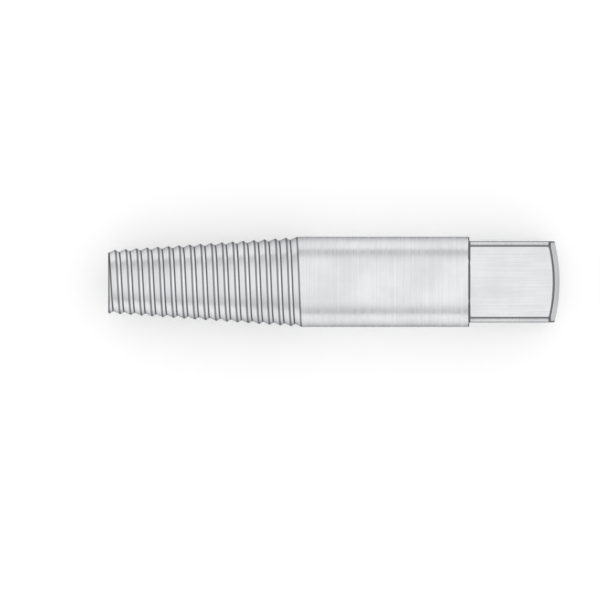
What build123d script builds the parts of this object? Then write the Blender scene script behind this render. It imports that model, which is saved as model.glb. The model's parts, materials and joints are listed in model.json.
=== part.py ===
from build123d import *
from math import asin, atan, ceil, cos, degrees, radians, sqrt
import os

# Driving dimensions, in millimetres. The tip face lies at x = 0 on the tool's own axis,
# the drive end points along +X, and two of the drive's flats face up and down.
overall_length = 100.0
shank_diameter = 20.0
tip_diameter = 14.0  # over the thread's crests at the tip face

thread_length = 42.6  # from the tip face to the end of the groove's run-out
thread_pitch = 2.365
thread_depth = 0.58  # crest to root, square to the axis
steep_flank = 0.84  # axial length of the biting flank, on the tip side of each root
crest_land = 0.06  # what the groove leaves of the cone between two turns
run_out_turns = 0.5  # the groove climbs out of the shank over this much of its last turn
run_out_start_angle = 90.0  # degrees about +X, from the upper side to where the climb starts

drive_length = 20.0  # from the shoulder to the top of the domed end
drive_across_flats = 18.0
drive_across_corners = 24.0
dome_height = 1.15  # the domed end's rise above the middle of each flat's end

# The groove's cutter stands this far out of the steel wherever it has to leave it.
cutter_clearance = 0.35

# The turned form, as radii and stations along the axis.
tip_radius = tip_diameter / 2
shank_radius = shank_diameter / 2
corner_radius = drive_across_corners / 2
flat_distance = drive_across_flats / 2
shoulder_x = overall_length - drive_length
dome_radius = (flat_distance**2 + dome_height**2) / (2 * dome_height)
dome_centre_x = overall_length - dome_radius
dome_rim_x = dome_centre_x + sqrt(dome_radius**2 - corner_radius**2)
dome_angle = degrees(asin(corner_radius / dome_radius))

# The thread is one right-hand groove of sawtooth section along a cone. It is followed
# from before the tip face, in whole turns, to where its run-out starts.
long_flank = thread_pitch - crest_land - steep_flank
flank_overrun = crest_land / 3  # along the axis, so that no edge of the cutter lies in the cone
taper = (shank_radius - tip_radius) / thread_length
run_out_x = thread_length - run_out_turns * thread_pitch
whole_turns = ceil((run_out_x + long_flank + cutter_clearance) / thread_pitch)
groove_start_x = run_out_x - whole_turns * thread_pitch


def root_radius(x):
    """Radius of the groove's root on the thread's cone."""
    return tip_radius + taper * x - thread_depth


def flank_end(run):
    """End of a flank that crosses the cone at run from the root, and goes on past it."""
    return Vector(run, thread_depth + taper * run) * (1 + flank_overrun / abs(run))


def groove_helix(x, radius, climb, turns):
    """Right-hand helix about +X whose radius grows by climb for each unit along the axis."""
    cone_angle = degrees(atan(climb))
    slant_pitch = thread_pitch / cos(radians(cone_angle))
    return Helix(slant_pitch, turns * thread_pitch, radius, (x, 0, 0), (1, 0, 0), cone_angle)


# The root's path keeps one helix for each whole turn and ends in a steeper one, the run-out.
turn_starts = [groove_start_x + turn * thread_pitch for turn in range(whole_turns)]
full_turns = [groove_helix(x, root_radius(x), taper, 1) for x in turn_starts]
run_out_rise = shank_radius + cutter_clearance - root_radius(run_out_x)
run_out_climb = run_out_rise / (run_out_turns * thread_pitch)
run_out = groove_helix(run_out_x, root_radius(run_out_x), run_out_climb, run_out_turns)
groove_path = Wire(full_turns + [run_out])

with BuildPart() as groove:
    with BuildSketch(Plane.XZ) as groove_section:
        with BuildLine():
            root = Vector(groove_start_x, root_radius(groove_start_x))
            tip_side = root + flank_end(-steep_flank)
            shank_side = root + flank_end(long_flank)
            outward = Vector(0, cutter_clearance)
            Polyline(
                root, tip_side, tip_side + outward, shank_side + outward, shank_side,
                close=True,
            )
        make_face()
    sweep(path=groove_path, is_frenet=True, clean=False)

with BuildPart() as screw_extractor:
    # The drive end, turned round with a domed face and then milled to four flats, which
    # leave the corners of the square as they were turned.
    with BuildSketch(Plane.XZ) as drive_profile:
        with BuildLine():
            Polyline(
                (overall_length, 0), (shoulder_x, 0),
                (shoulder_x, corner_radius), (dome_rim_x, corner_radius),
            )
            CenterArc((dome_centre_x, 0), dome_radius, 0, dome_angle)
        make_face()
    revolve(axis=Axis.X)
    with BuildSketch(Plane.YZ.offset(shoulder_x)) as drive_square:
        Rectangle(drive_across_flats, drive_across_flats)
    extrude(amount=drive_length, mode=Mode.INTERSECT)

    # The shank and the cone, turned, with the thread's groove cut into the cone.
    with BuildSketch(Plane.XZ) as shank_profile:
        with BuildLine():
            Polyline(
                (shoulder_x, 0), (0, 0), (0, tip_radius),
                (thread_length, shank_radius), (shoulder_x, shank_radius),
                close=True,
            )
        make_face()
    revolve(axis=Axis.X)
    add(groove.part, rotation=(run_out_start_angle, 0, 0), mode=Mode.SUBTRACT)

screw_extractor.part.label = "screw_extractor"

os.makedirs("parts", exist_ok=True)
export_step(screw_extractor.part, "parts/screw_extractor.step")
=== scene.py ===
import json
import math

import bpy
import numpy as np
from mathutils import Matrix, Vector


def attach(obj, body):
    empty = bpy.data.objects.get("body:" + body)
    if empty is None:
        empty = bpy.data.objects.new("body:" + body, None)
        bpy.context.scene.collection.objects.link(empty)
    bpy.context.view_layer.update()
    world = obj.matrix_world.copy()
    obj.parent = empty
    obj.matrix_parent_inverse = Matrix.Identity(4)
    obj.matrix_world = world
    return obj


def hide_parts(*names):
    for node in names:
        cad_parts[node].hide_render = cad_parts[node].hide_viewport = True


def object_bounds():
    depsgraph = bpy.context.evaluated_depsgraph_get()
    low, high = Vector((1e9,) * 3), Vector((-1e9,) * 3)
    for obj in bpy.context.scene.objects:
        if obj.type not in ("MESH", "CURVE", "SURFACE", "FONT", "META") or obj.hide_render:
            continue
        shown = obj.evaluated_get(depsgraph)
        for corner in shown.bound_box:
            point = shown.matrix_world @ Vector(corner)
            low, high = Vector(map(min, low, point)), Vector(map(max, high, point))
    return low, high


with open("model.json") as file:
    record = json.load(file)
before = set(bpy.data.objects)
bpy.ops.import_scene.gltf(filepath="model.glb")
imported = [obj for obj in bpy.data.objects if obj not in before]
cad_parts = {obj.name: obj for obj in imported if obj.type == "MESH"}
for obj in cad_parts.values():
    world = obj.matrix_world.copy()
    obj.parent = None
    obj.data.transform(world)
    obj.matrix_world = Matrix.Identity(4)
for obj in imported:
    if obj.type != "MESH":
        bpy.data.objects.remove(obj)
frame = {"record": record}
cad_low, cad_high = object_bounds()

NODE = "screw_extractor"

# What the frame gives, in metres: the overall length, the shank and the drive's flats.
mounts = {mount["name"]: mount for mount in frame["record"]["mounts"]}
overall_length = cad_high.x
shank_radius = mounts["shank"]["dims"]["r_mm"] / 1000
flat_distance = mounts["drive_flat_upper"]["pos_m"][2]

# The rest of the solid's sizes, which the frame doesn't state.
tip_radius = 0.007
thread_length = 0.0426
thread_pitch = 0.002365
thread_depth = 0.00058
steep_flank = 0.00084
crest_land = 0.00006
run_out_turns = 0.5
run_out_clearance = 0.00035
drive_length = 0.020
corner_radius = 0.012
dome_height = 0.00115

# Small roundings that every edge of the real tool has.
crest_break = 0.00002
root_fillet = 0.00004
tip_break = 0.0002
shoulder_break = 0.0002
shoulder_fillet = 0.0002
square_break = 0.0002
rim_break = 0.0002

# How finely the surface is divided, round the axis and along each stretch of it.
column_step = math.radians(1.5)
rounding_points = 4
tip_rings = 8
shank_rings = 8
drive_rings = 6
dome_rings = 14
line_gaps = [0.0003, 0.0005, 0.0009]  # rows beside an edge, which keep its line crisp
turns_before_tip = 2  # spare turns, so that every column's thread starts before the tip face
merge_step = 1e-8  # points that are the same to this step become one

# The steel's painted shade at its edges and recesses follows their distances, which the mesh
# carries.
far = 0.01  # a distance at which an edge or a recess has no effect on the steel
fading_width = 0.0012  # a groove narrower than this is fading out, with its edges and its root
fade_distance = 0.001  # how far off they are taken to be where the groove is gone
square_on = 0.99999  # a face that looks along Y or Z to this degree is a flat

taper = (shank_radius - tip_radius) / thread_length
long_flank = thread_pitch - crest_land - steep_flank
steep_slope = (thread_depth - taper * steep_flank) / steep_flank
long_slope = (thread_depth + taper * long_flank) / long_flank
shoulder_x = overall_length - drive_length
corner_step = corner_radius - shank_radius
dome_radius = (flat_distance**2 + dome_height**2) / (2 * dome_height)
dome_centre_x = overall_length - dome_radius
flat_half_width = math.sqrt(corner_radius**2 - flat_distance**2)


def quarter_arc(count):
    """A quarter round's points from start to end, as shares of its radius: how far each has to
    go along the first side, and how far it has come along the second."""
    angles = np.linspace(0, math.pi / 2, count)
    return [(1 - math.sin(a), 1 - math.cos(a)) for a in angles]


def bezier(start, corner, end, count):
    """Points of a quadratic curve that rounds a corner."""
    t = np.linspace(0, 1, count)[:, None]
    from_start = (1 - t) ** 2 * np.array(start)
    from_corner = 2 * t * (1 - t) * np.array(corner)
    return from_start + from_corner + t**2 * np.array(end)


def envelope(x):
    """Radius of the cone or the shank at a station, before the thread is cut."""
    return np.minimum(tip_radius + taper * x, shank_radius)


def dome_x(radius):
    """Where the domed end stands at a radius from the axis."""
    return dome_centre_x + np.sqrt(dome_radius**2 - radius**2)


def square_eighth():
    """Angles from the middle of a flat to the corner of the square, with the radius at each."""
    corner = (flat_distance, flat_half_width)
    on_flat = (flat_distance, flat_half_width - square_break)
    arc_angle = math.atan2(flat_half_width, flat_distance) + square_break / corner_radius
    on_arc = (corner_radius * math.cos(arc_angle), corner_radius * math.sin(arc_angle))
    rounding = bezier(on_flat, corner, on_arc, rounding_points)
    rounding_angles = np.arctan2(rounding[:, 1], rounding[:, 0])
    rounding_radii = np.hypot(rounding[:, 0], rounding[:, 1])
    level_angle = math.acos(flat_distance / shank_radius)

    places = [(0.0, flat_distance)]
    flat_angles = [0, level_angle, rounding_angles[0]]
    for start, end in zip(flat_angles, flat_angles[1:]):
        steps = max(1, math.ceil((end - start) / column_step))
        for angle in np.linspace(start, end, steps + 1)[1:]:
            places.append((angle, flat_distance / math.cos(angle)))
    places += list(zip(rounding_angles[1:], rounding_radii[1:]))
    steps = max(1, math.ceil((math.pi / 4 - rounding_angles[-1]) / column_step))
    for angle in np.linspace(rounding_angles[-1], math.pi / 4, steps + 1)[1:]:
        places.append((angle, corner_radius))
    return places


def drive_columns():
    """Angles about the axis from +Y towards +Z. Each comes with the drive's radius there, the
    distance across its flat from the middle, and the distance to the edge of the flat."""
    eighth = square_eighth()
    quarter = [(angle, angle, radius, 1) for angle, radius in eighth]
    quarter += [(math.pi / 2 - angle, angle, radius, -1) for angle, radius in eighth[-2:0:-1]]
    columns = []
    for side in range(4):
        for angle, from_middle, radius, sign in quarter:
            across = radius * math.sin(from_middle)
            to_edge = abs(flat_half_width - across)
            columns.append((angle + side * math.pi / 2, radius, sign * across, to_edge))
    columns.append((2 * math.pi, flat_distance, 0.0, flat_half_width))
    return columns


def groove_at(turn):
    """The groove at places along its helix, counted in turns from its end: the root's station
    and radius, the reach of its two flanks along the axis, and how far it has run out."""
    root_x = thread_length + turn * thread_pitch
    cone_radius = tip_radius + taper * root_x
    run_out_x = thread_length - run_out_turns * thread_pitch
    run_out_root = tip_radius + taper * run_out_x - thread_depth
    climb = (shank_radius + run_out_clearance - run_out_root) / run_out_turns
    climbing_root = run_out_root + climb * (turn + run_out_turns)
    root = np.where(turn < -run_out_turns, cone_radius - thread_depth, climbing_root)

    cone_left = (cone_radius - root) / (steep_slope + taper)
    shank_left = (shank_radius - root) / steep_slope
    left = np.clip(np.minimum(cone_left, shank_left), 0, None)
    cone_right = (cone_radius - root) / (long_slope - taper)
    shank_right = (shank_radius - root) / long_slope
    right = np.clip(np.minimum(cone_right, shank_right), 0, None)
    gone = 1 - np.clip((left + right) / fading_width, 0, 1)
    return root_x, np.minimum(root, envelope(root_x)), left, right, gone


def lay_at(x, turn, gone):
    """The distance along the section by which the turned lines lie. It steps back by a pitch
    at each crest, and is the station itself where the groove is gone."""
    return x - (1 - gone) * turn * thread_pitch


def thread_rows(turn):
    """The thread's points at places along its helix. Each row holds the station, the radius,
    the distances to the next edge and to the next recess, and the lay."""
    root_x, root, left, right, gone = groove_at(turn)
    *_, right_before, _ = groove_at(turn - 1)
    *_, gone_after = groove_at(turn + 1)
    half_land = (thread_pitch - left - right_before) / 2

    break_left = np.minimum(crest_break, left / 3)
    break_right = np.minimum(crest_break, right / 3)
    fillet_left = np.minimum(root_fillet, left / 3)
    fillet_right = np.minimum(root_fillet, right / 3)
    fillet_height = (steep_slope * fillet_left + long_slope * fillet_right) / 4
    faded = fade_distance * gone
    none = np.zeros_like(turn)
    # For each row: run from the root, height over it (or None on the surface), edge, recess.
    section = [
        (-left - half_land, None, half_land - faded, left + half_land),
        (-left - break_left, None, none, left),
        (-left + break_left, steep_slope * (left - break_left), none, left - break_left),
        (-left / 2, steep_slope * left / 2, left / 2, left / 2),
        (-fillet_left, steep_slope * fillet_left, left - fillet_left, none),
        ((fillet_right - fillet_left) / 4, fillet_height, np.minimum(left, right), none),
        (fillet_right, long_slope * fillet_right, right - fillet_right, none),
        (right / 3, long_slope * right / 3, right * 2 / 3, right / 3),
        (right * 2 / 3, long_slope * right * 2 / 3, right / 3, right * 2 / 3),
        (right - break_right, long_slope * (right - break_right), none, right - break_right),
        (right + break_right, None, none, right),
    ]
    rows = []
    for run, height, edge, recess in section:
        x = root_x + run
        radius = envelope(x) if height is None else np.minimum(root + height, envelope(x))
        rows.append([x, radius, edge + faded, recess + faded, lay_at(x, turn, gone)])
    rows[-1][-1] = lay_at(rows[-1][0], turn + 1, gone_after)
    return np.array(rows)


def cut_thread(share):
    """The thread's rows in the column at that share of a turn from +Y. Those before the broken
    edge of the tip face all move onto it, where they merge."""
    first_turn = -math.ceil(thread_length / thread_pitch) - turns_before_tip
    rows = thread_rows(np.arange(first_turn, 1) + share)
    thread = rows.transpose(2, 0, 1).reshape(-1, rows.shape[1])
    start = np.array([np.interp(tip_break, thread[:, 0], values) for values in thread.T])
    start[0] = tip_break
    thread[thread[:, 0] < tip_break] = start
    thread[:, 2] = np.minimum(thread[:, 2], thread[:, 0] - tip_break)
    return thread


def tip_rows(thread_start):
    """The flat tip face from its middle outwards, and its broken edge."""
    _, start_radius, _, start_recess, start_lay = thread_start
    face_radius = start_radius - tip_break
    rows = []
    for fraction in np.linspace(0, 1, tip_rings + 1)[:-1]:
        radius = face_radius * fraction
        inwards = face_radius - radius
        rows.append((0, radius, inwards, start_recess + inwards, -radius))
    for along, across in reversed(quarter_arc(rounding_points)[1:]):
        radius = start_radius - tip_break * across
        rows.append((tip_break * along, radius, 0, start_recess, start_lay))
    return rows


def shoulder_distances(run, rise, step):
    """Distances to the shoulder's rim and to its foot, for a point that far from it along the
    axis and that far up or down its face from the shank. The step is the drive's radius less
    the shank's: up to the corners, and down, so less than 0, to the middle of the flats."""
    to_shank = abs(run) + rise
    to_drive = abs(run) + abs(step) - rise
    return (to_drive, to_shank) if step > 0 else (to_shank, to_drive)


def shank_rows(thread_end, step):
    """The plain shank from the end of the thread to the shoulder."""
    start = thread_length + thread_pitch
    near_shoulder = [shoulder_x - gap for gap in line_gaps[::-1]]
    between = np.linspace(start, near_shoulder[0], shank_rings + 1)[:-1]
    rows = []
    for x in [(thread_end + start) / 2, *between, *near_shoulder]:
        edge, recess = shoulder_distances(shoulder_x - x, 0, step)
        rows.append((x, shank_radius, min(edge, x - thread_length), recess, x))
    return rows


def shoulder_rows(step):
    """The shoulder, with its broken rim and its filleted foot."""
    height = abs(step)
    upward = 1 if step > 0 else -1
    at_shank = min(shoulder_fillet if step > 0 else shoulder_break, height / 2)
    at_drive = min(shoulder_break if step > 0 else shoulder_fillet, height / 2)
    rounding = quarter_arc(rounding_points)
    places = [(-at_shank * along, at_shank * across) for along, across in rounding]
    places += [(at_drive * along, height - at_drive * across) for across, along in rounding]
    rows = []
    for run, rise in places:
        radius = shank_radius + upward * rise
        edge, recess = shoulder_distances(0, rise, step)
        rows.append((shoulder_x + run, radius, edge, recess, shoulder_x + rise))
    return rows


def drive_rows(drive_radius, step, flat_edge):
    """The drive's side from the shoulder to the rim of its domed end."""
    rim_x = dome_x(drive_radius) - rim_break
    near_shoulder = [shoulder_x + gap for gap in line_gaps]
    near_rim = [rim_x - gap for gap in line_gaps[::-1]]
    between = np.linspace(near_shoulder[-1], near_rim[0], drive_rings + 2)[1:-1]
    rows = []
    for x in [*near_shoulder, *between, *near_rim, rim_x]:
        edge, recess = shoulder_distances(x - shoulder_x, abs(step), step)
        rows.append((x, drive_radius, min(edge, rim_x - x, flat_edge), recess, x + corner_step))
    return rows


def dome_rows(drive_radius):
    """The rounded rim of the drive's domed end, and the dome from there to the axis."""
    rim_x = dome_x(drive_radius)
    inner = drive_radius - rim_break
    lay_on_axis = overall_length + corner_radius
    rim_start = (rim_x - rim_break, drive_radius)
    rim = bezier(rim_start, (rim_x, drive_radius), (dome_x(inner), inner), rounding_points)
    rows = []
    for x, radius in rim[1:]:
        rows.append((x, radius, 0, far, lay_on_axis - radius))
    for fraction in np.linspace(1, 0, dome_rings + 1)[1:]:
        radius = inner * fraction
        rows.append((dome_x(radius), radius, inner - radius, far, lay_on_axis - radius))
    return rows


def column_profile(angle, drive_radius, flat_edge):
    """The surface in one column, from the middle of the tip face to the middle of the dome, as
    rows of the same five values as the thread's."""
    thread = cut_thread(angle / (2 * math.pi))
    step = drive_radius - shank_radius
    profile = tip_rows(thread[0])
    profile += list(thread)
    profile += shank_rows(thread[-1, 0], step)
    profile += shoulder_rows(step)
    profile += drive_rows(drive_radius, step, flat_edge)
    profile += dome_rows(drive_radius)
    return np.array(profile)


def surface_grid():
    """Points of the surface, column by column, and the four values that each one carries."""
    points, values = [], []
    for angle, drive_radius, across, flat_edge in drive_columns():
        profile = column_profile(angle, drive_radius, flat_edge)
        stations, radii = profile[:, 0], profile[:, 1]
        column = [stations, radii * math.cos(angle), radii * math.sin(angle)]
        points.append(np.stack(column, axis=1))
        values.append(np.column_stack([profile[:, 2:], np.full(len(profile), across)]))
    return np.array(points), np.array(values)


def grid_faces(columns, rows, merged):
    """Faces between neighbouring columns and rows, with each corner once."""
    faces = []
    for column in range(columns - 1):
        for row in range(rows - 1):
            first = column * rows + row
            corners = [merged[i] for i in (first, first + rows, first + rows + 1, first + 1)]
            face = [int(v) for i, v in enumerate(corners) if v != corners[i - 1]]
            if len(set(face)) >= 3:
                faces.append(face)
    return faces


def add_attribute(mesh, name, domain, values):
    attribute = mesh.attributes.new(name, "FLOAT", domain)
    attribute.data.foreach_set("value", values.astype(np.float32))


def finish_faces(mesh, vertices, faces):
    """Marks the milled flats, and weighs the normals by area, so that flanks and flats keep
    their own and the small roundings between them bend."""
    normals = np.zeros(len(faces) * 3)
    areas = np.zeros(len(faces))
    mesh.polygons.foreach_get("normal", normals)
    mesh.polygons.foreach_get("area", areas)
    normals = normals.reshape(-1, 3)

    squarely = np.abs(normals[:, 1:]).max(axis=1) > square_on
    on_drive = np.array([vertices[face[0]][0] > shoulder_x for face in faces])
    add_attribute(mesh, "milled", "FACE", squarely & on_drive)

    smooth = np.zeros((len(vertices), 3))
    for face, normal, area in zip(faces, normals, areas):
        for corner in face:
            smooth[corner] += normal * area
    smooth /= np.linalg.norm(smooth, axis=1)[:, None]
    mesh.shade_smooth()
    mesh.normals_split_custom_set_from_vertices(smooth.tolist())


def build_extractor():
    """The whole tool as one closed mesh whose edges follow the thread and the drive's edges."""
    points, values = surface_grid()
    columns, rows = points.shape[:2]
    points = points.reshape(columns * rows, -1)
    values = values.reshape(columns * rows, -1)
    keys = np.round(points / merge_step).astype(np.int64)
    _, first, merged = np.unique(keys, axis=0, return_index=True, return_inverse=True)
    vertices = points[first]
    faces = grid_faces(columns, rows, merged.ravel())

    mesh = bpy.data.meshes.new("extractor_steel")
    mesh.from_pydata(vertices.tolist(), [], faces)
    names = ("edge_distance", "recess_distance", "lay", "across")
    for name, column in zip(names, values[first].T):
        add_attribute(mesh, name, "POINT", column)
    mesh.update()
    finish_faces(mesh, vertices, faces)
    piece = bpy.data.objects.new("extractor_steel", mesh)
    bpy.context.scene.collection.objects.link(piece)
    return piece


class Nodes:
    """Shader nodes by short calls: each takes its inputs by name, as values or as links."""

    def __init__(self, tree):
        self.tree = tree
        tree.nodes.clear()

    def add(self, kind, settings=None, **inputs):
        node = self.tree.nodes.new(kind)
        for name, value in (settings or {}).items():
            setattr(node, name, value)
        for name, value in inputs.items():
            socket = self.find(node, name)
            if isinstance(value, bpy.types.NodeSocket):
                self.tree.links.new(value, socket)
            else:
                socket.default_value = value
        return node

    def find(self, node, name):
        """An input by its name with underscores, or by its number as in0, in1."""
        if name.startswith("in") and name[2:].isdigit():
            return node.inputs[int(name[2:])]
        return node.inputs[name.replace("_", " ")]

    def math(self, operation, a, b):
        return self.add("ShaderNodeMath", {"operation": operation}, in0=a, in1=b).outputs[0]

    def mix(self, factor, a, b):
        """A colour between two colours."""
        node = self.add("ShaderNodeMix", {"data_type": "RGBA"}, in0=factor, in6=a, in7=b)
        return node.outputs[2]

    def choose(self, factor, a, b):
        """One of two vectors, by a factor of 0 or 1."""
        node = self.add("ShaderNodeMix", {"data_type": "VECTOR"}, in0=factor, in4=a, in5=b)
        return node.outputs[1]

    def blend(self, factor, a, b):
        """A number between two numbers."""
        node = self.add("ShaderNodeMix", {"data_type": "FLOAT"}, in0=factor, in2=a, in3=b)
        return node.outputs[0]

    def attribute(self, name):
        return self.add("ShaderNodeAttribute", {"attribute_name": name}).outputs["Fac"]

    def ramp(self, value, from_min, from_max, to_min=0.0, to_max=1.0):
        node = self.add(
            "ShaderNodeMapRange", {"interpolation_type": "SMOOTHSTEP"},
            Value=value, From_Min=from_min, From_Max=from_max, To_Min=to_min, To_Max=to_max,
        )
        return node.outputs[0]

    def noise(self, vector, scale, detail, roughness):
        node = self.add(
            "ShaderNodeTexNoise",
            Vector=vector, Scale=scale, Detail=detail, Roughness=roughness,
        )
        return node.outputs["Fac"]


def tool_lines(n, xyz):
    """Where the fine lines of the cutting tools lie: round the axis where the steel was
    turned, along it where the flats were milled. They drift slowly along their length."""
    lines_per_metre = 4000.0
    turned_drift = 25.0
    milled_drift = 50.0
    turned = n.add(
        "ShaderNodeCombineXYZ",
        in0=n.math("MULTIPLY", n.attribute("lay"), lines_per_metre),
        in1=n.math("MULTIPLY", xyz[1], turned_drift),
        in2=n.math("MULTIPLY", xyz[2], turned_drift),
    ).outputs[0]
    milled = n.add(
        "ShaderNodeCombineXYZ",
        in0=n.math("MULTIPLY", n.attribute("across"), lines_per_metre),
        in1=n.math("MULTIPLY", xyz[0], milled_drift),
    ).outputs[0]
    return n.choose(n.attribute("milled"), turned, milled)


def edge_shade_mask(n):
    """Where painted shade lies along the edges: 1 along each edge and 0 away from it."""
    full_to = 0.00008
    gone_from = 0.0003
    return n.ramp(n.attribute("edge_distance"), full_to, gone_from, 1.0, 0.0)


def recess_shade_mask(n, cloud):
    """Where painted shade lies in the roots and corners: 1 in each and 0 away from it, with a
    reach that varies.
    """
    full_to = 0.00006
    shortest_reach = 0.00018
    longest_reach = 0.00028
    gone_from = n.blend(cloud, shortest_reach, longest_reach)
    return n.ramp(n.attribute("recess_distance"), full_to, gone_from, 1.0, 0.0)


def on_dome(n, place, on_drive):
    """1 on the drive's domed end, which is part of a sphere, and 0 elsewhere."""
    centre = (dome_centre_x, 0, 0)
    distance = n.add("ShaderNodeVectorMath", {"operation": "DISTANCE"}, in0=place, in1=centre)
    inside = dome_radius - rim_break
    sphere = n.ramp(distance.outputs["Value"], inside, dome_radius - rim_break / 2)
    return n.math("MULTIPLY", on_drive, sphere)


def steel_colour(n, lines, cloud, edge, recess, on_drive):
    """Steel that is brighter and duller from line to line and from place to place, with painted
    shade that darkens its edges and recesses."""
    steel = (0.85, 0.855, 0.865, 1)
    dull_steel = (0.72, 0.725, 0.74, 1)
    # colour of the painted shade along the edges
    edge_shade_colour = (0.16, 0.165, 0.175, 1)
    # colour of the painted shade in the roots and corners
    recess_shade_colour = (0.13, 0.13, 0.14, 1)
    cloud_share = 0.5
    dullest_at = 0.35
    brightest_at = 0.68
    turned_edge_shade = 0.85
    drive_edge_shade = 1.0
    recess_shade_strength = 0.9

    shade = n.blend(cloud_share, lines, cloud)
    colour = n.mix(n.ramp(shade, dullest_at, brightest_at), dull_steel, steel)
    edge_shade_strength = n.blend(on_drive, turned_edge_shade, drive_edge_shade)
    # painted shade: the edges darkened, more strongly on the drive
    colour = n.mix(n.math("MULTIPLY", edge, edge_shade_strength), colour, edge_shade_colour)
    # painted shade: the roots and corners darkened
    return n.mix(n.math("MULTIPLY", recess, recess_shade_strength), colour, recess_shade_colour)


def steel_roughness(n, broad_lines, domed, recess):
    """Satin steel that varies a little from line to line, and is rougher on the domed end and
    in the recesses."""
    smoothest = 0.23
    roughest = 0.32
    smoothest_at = 0.3
    roughest_at = 0.7
    dome_roughness = 0.45
    recess_roughness = 0.6
    roughness = n.ramp(broad_lines, smoothest_at, roughest_at, smoothest, roughest)
    roughness = n.blend(domed, roughness, dome_roughness)
    return n.blend(recess, roughness, recess_roughness)


def satin_steel():
    """Hardened tool steel with a satin face: turned lines, milled lines on the flats, painted
    shade in the roots and corners, and thin dark lines of painted shade along the broken edges."""
    silhouette_tint = (0.4, 0.4, 0.41, 1)  # the steel is darker where it is seen edge-on
    before_shoulder = 0.0005  # the drive's stronger painted edge shade starts this far before it
    grain_share = 0.3
    line_depth = 0.000006

    material = bpy.data.materials.new("satin_steel")
    material.use_nodes = True
    n = Nodes(material.node_tree)
    place = n.add("ShaderNodeTexCoord").outputs["Object"]
    xyz = n.add("ShaderNodeSeparateXYZ", in0=place).outputs
    lines_at = tool_lines(n, xyz)
    lines = n.noise(lines_at, scale=1.0, detail=4.0, roughness=0.6)
    broad_lines = n.noise(lines_at, scale=0.25, detail=2.0, roughness=0.5)
    grain = n.noise(place, scale=7000.0, detail=2.0, roughness=0.6)
    cloud = n.noise(place, scale=110.0, detail=3.0, roughness=0.55)

    # painted shade along the edges
    edge = edge_shade_mask(n)
    # painted shade in the roots and corners
    recess = recess_shade_mask(n, cloud)
    on_drive = n.ramp(xyz[0], shoulder_x - before_shoulder, shoulder_x)
    domed = on_dome(n, place, on_drive)
    height = n.blend(grain_share, lines, grain)
    bump = n.add("ShaderNodeBump", Strength=1.0, Distance=line_depth, Height=height).outputs[0]
    shader = n.add(
        "ShaderNodeBsdfPrincipled",
        Base_Color=steel_colour(n, lines, cloud, edge, recess, on_drive),
        Metallic=1.0,
        Roughness=steel_roughness(n, broad_lines, domed, recess),
        Normal=bump,
        Specular_Tint=silhouette_tint,
    )
    n.add("ShaderNodeOutputMaterial", Surface=shader.outputs[0])
    return material


def white_floor():
    """A white floor that keeps the soft shadow and shows plain white outside it."""
    half_size = 2.0
    paper = (0.8, 0.8, 0.8, 1)
    glow_strength = 0.26  # what the paper lacks to be seen as plain white

    mesh = bpy.data.meshes.new("floor")
    corners = [(-half_size, -half_size, 0), (half_size, -half_size, 0)]
    corners += [(half_size, half_size, 0), (-half_size, half_size, 0)]
    mesh.from_pydata(corners, [], [(0, 1, 2, 3)])
    floor = bpy.data.objects.new("floor", mesh)
    floor.location = (0, 0, cad_low.z)
    bpy.context.scene.collection.objects.link(floor)

    material = bpy.data.materials.new("floor_paper")
    material.use_nodes = True
    n = Nodes(material.node_tree)
    path = n.add("ShaderNodeLightPath").outputs
    seen = n.math("MAXIMUM", path["Is Camera Ray"], path["Is Glossy Ray"])
    seen = n.math("MAXIMUM", seen, path["Is Transmission Ray"])
    strength = n.math("MULTIPLY", seen, glow_strength)
    diffuse = n.add("ShaderNodeBsdfDiffuse", Color=paper).outputs[0]
    glow = n.add("ShaderNodeEmission", Color=(1, 1, 1, 1), Strength=strength).outputs[0]
    both = n.add("ShaderNodeAddShader", in0=diffuse, in1=glow).outputs[0]
    n.add("ShaderNodeOutputMaterial", Surface=both)
    mesh.materials.append(material)


def soft_studio():
    """An even white studio, a little dimmer low at the sides, with a wide soft light beyond
    the drive end. The camera sees it plain white."""
    low_level = 0.55
    full_level = 1.0
    full_from = 0.6  # a direction's rise, of 1 straight up, from which the studio is fully lit
    end_light = 0.25
    end_light_from = 0.25  # a direction's share of +X from which this light sets in
    end_light_full_from = 0.65  # and from which it is full

    world = bpy.data.worlds.new("studio")
    world.use_nodes = True
    n = Nodes(world.node_tree)
    direction = n.add("ShaderNodeTexCoord").outputs["Generated"]
    xyz = n.add("ShaderNodeSeparateXYZ", in0=direction).outputs
    level = n.ramp(xyz[2], 0.0, full_from, low_level, full_level)
    light = n.ramp(xyz[0], end_light_from, end_light_full_from, 0.0, end_light)
    seen = n.add("ShaderNodeLightPath").outputs["Is Camera Ray"]
    strength = n.blend(seen, n.math("ADD", level, light), 1.0)
    background = n.add("ShaderNodeBackground", Color=(1, 1, 1, 1), Strength=strength)
    n.add("ShaderNodeOutputWorld", Surface=background.outputs[0])
    bpy.context.scene.world = world


def camera_above():
    """A camera that looks straight down without perspective, as the drawing does."""
    view_width = 0.1329
    centre_x = 0.0425
    centre_y = -0.00403
    height = 0.5
    camera_data = bpy.data.cameras.new("camera")
    camera_data.type = "ORTHO"
    camera_data.ortho_scale = view_width
    camera = bpy.data.objects.new("camera", camera_data)
    camera.location = (centre_x, centre_y, height)
    bpy.context.scene.collection.objects.link(camera)
    return camera


piece = build_extractor()
piece.data.materials.append(satin_steel())
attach(piece, "root")
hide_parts(NODE)
white_floor()
soft_studio()
bpy.context.scene.camera = camera_above()

bpy.context.scene.view_settings.view_transform = "Standard"
